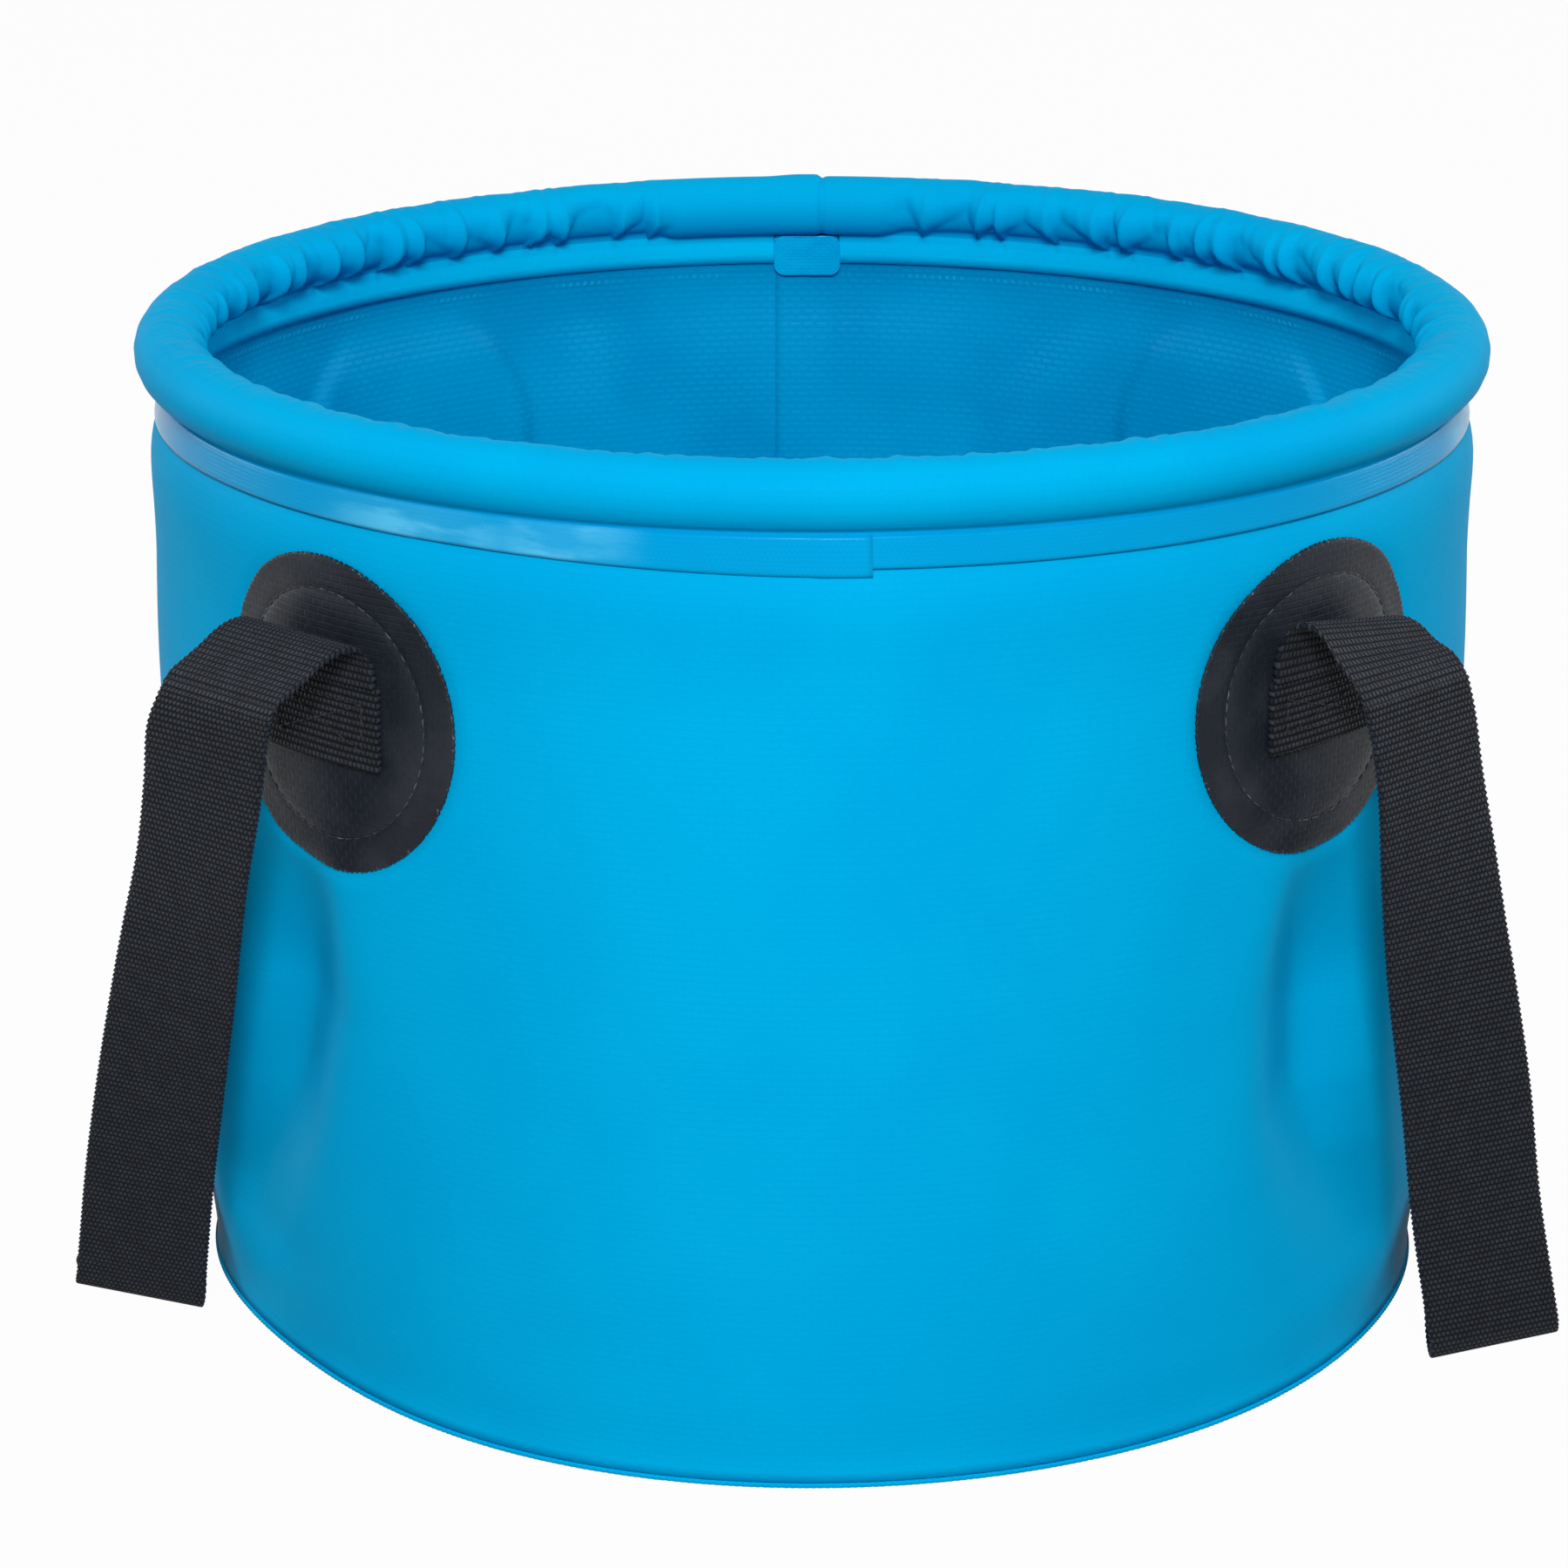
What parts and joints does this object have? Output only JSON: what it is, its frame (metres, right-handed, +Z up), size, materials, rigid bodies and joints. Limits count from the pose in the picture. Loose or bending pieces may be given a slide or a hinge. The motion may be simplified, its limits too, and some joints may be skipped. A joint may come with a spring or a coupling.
{
  "type": "collapsible camp bucket",
  "caption": "Collapsible round bucket of welded blue tarpaulin with a hooped rolled rim, black sewn-on patches and two hanging black webbing handles.",
  "frame": {"origin": "middle of the underside of the base, on the surface that the bucket stands on", "axes": "+Z up through the open rim; -Y towards the front, where the rim tape laps; +X towards the right handle"},
  "size_m": [0.3738, 0.33, 0.2443],
  "materials": {
    "blue_tarpaulin": "satin coated fabric",
    "blue_tape": "glossy welded tape",
    "hoop_plastic": "matte",
    "black_tarpaulin": "satin coated fabric",
    "black_webbing": "ribbed woven webbing",
    "black_thread": "sewing thread"
  },
  "bodies": {
    "base": {"base_panel": "blue_tarpaulin", "base_welt": "blue_tarpaulin", "wall_panel": "blue_tarpaulin"},
    "rim": {"rim_sleeve": "blue_tarpaulin", "rim_hoop": "hoop_plastic", "hoop_joiner": "hoop_plastic", "rim_tape": "blue_tape", "seam_tab": "blue_tarpaulin"},
    "patches": {"front_left_patch_backing": "black_tarpaulin", "front_left_patch_disc": "black_tarpaulin", "front_left_patch_stitching": "black_thread", "front_left_strap_end": "black_webbing", "front_left_strap_stitching": "black_thread", "front_left_strap_arch": "black_webbing", "front_right_patch_backing": "black_tarpaulin", "front_right_patch_disc": "black_tarpaulin", "front_right_patch_stitching": "black_thread", "front_right_strap_end": "black_webbing", "front_right_strap_stitching": "black_thread", "front_right_strap_arch": "black_webbing", "rear_left_patch_backing": "black_tarpaulin", "rear_left_patch_disc": "black_tarpaulin", "rear_left_patch_stitching": "black_thread", "rear_left_strap_end": "black_webbing", "rear_left_strap_stitching": "black_thread", "rear_left_strap_arch": "black_webbing", "rear_right_patch_backing": "black_tarpaulin", "rear_right_patch_disc": "black_tarpaulin", "rear_right_patch_stitching": "black_thread", "rear_right_strap_end": "black_webbing", "rear_right_strap_stitching": "black_thread", "rear_right_strap_arch": "black_webbing"},
    "left_handle": {"left_handle_strap": "black_webbing"},
    "right_handle": {"right_handle_strap": "black_webbing"}
  },
  "joints": [
    {"name": "collapse", "type": "slide", "parent": "base", "child": "rim", "axis": [0, 0, 1], "range_m": [-0.17, 0], "deforming": ["wall_panel"]},
    {"name": "patch_drop", "type": "slide", "parent": "base", "child": "patches", "axis": [0, 0, 1], "range_m": [-0.1316, 0], "deforming": ["front_left_patch_backing", "front_left_patch_disc", "front_left_patch_stitching", "front_right_patch_backing", "front_right_patch_disc", "front_right_patch_stitching", "rear_left_patch_backing", "rear_left_patch_disc", "rear_left_patch_stitching", "rear_right_patch_backing", "rear_right_patch_disc", "rear_right_patch_stitching"]},
    {"name": "left_handle_lift", "type": "hinge", "parent": "patches", "child": "left_handle", "pos_m": [-0.1226, 0, 0.18497], "axis": [0, 1, 0], "range_deg": [0, 130], "deforming": ["front_left_strap_arch", "rear_left_strap_arch"]},
    {"name": "right_handle_lift", "type": "hinge", "parent": "patches", "child": "right_handle", "pos_m": [0.12716, 0, 0.18497], "axis": [0, -1, 0], "range_deg": [0, 130], "deforming": ["front_right_strap_arch", "rear_right_strap_arch"]}
  ],
  "couplings": [
    {"joint": "patch_drop", "follows": "collapse", "ratio": 0.774}
  ]
}
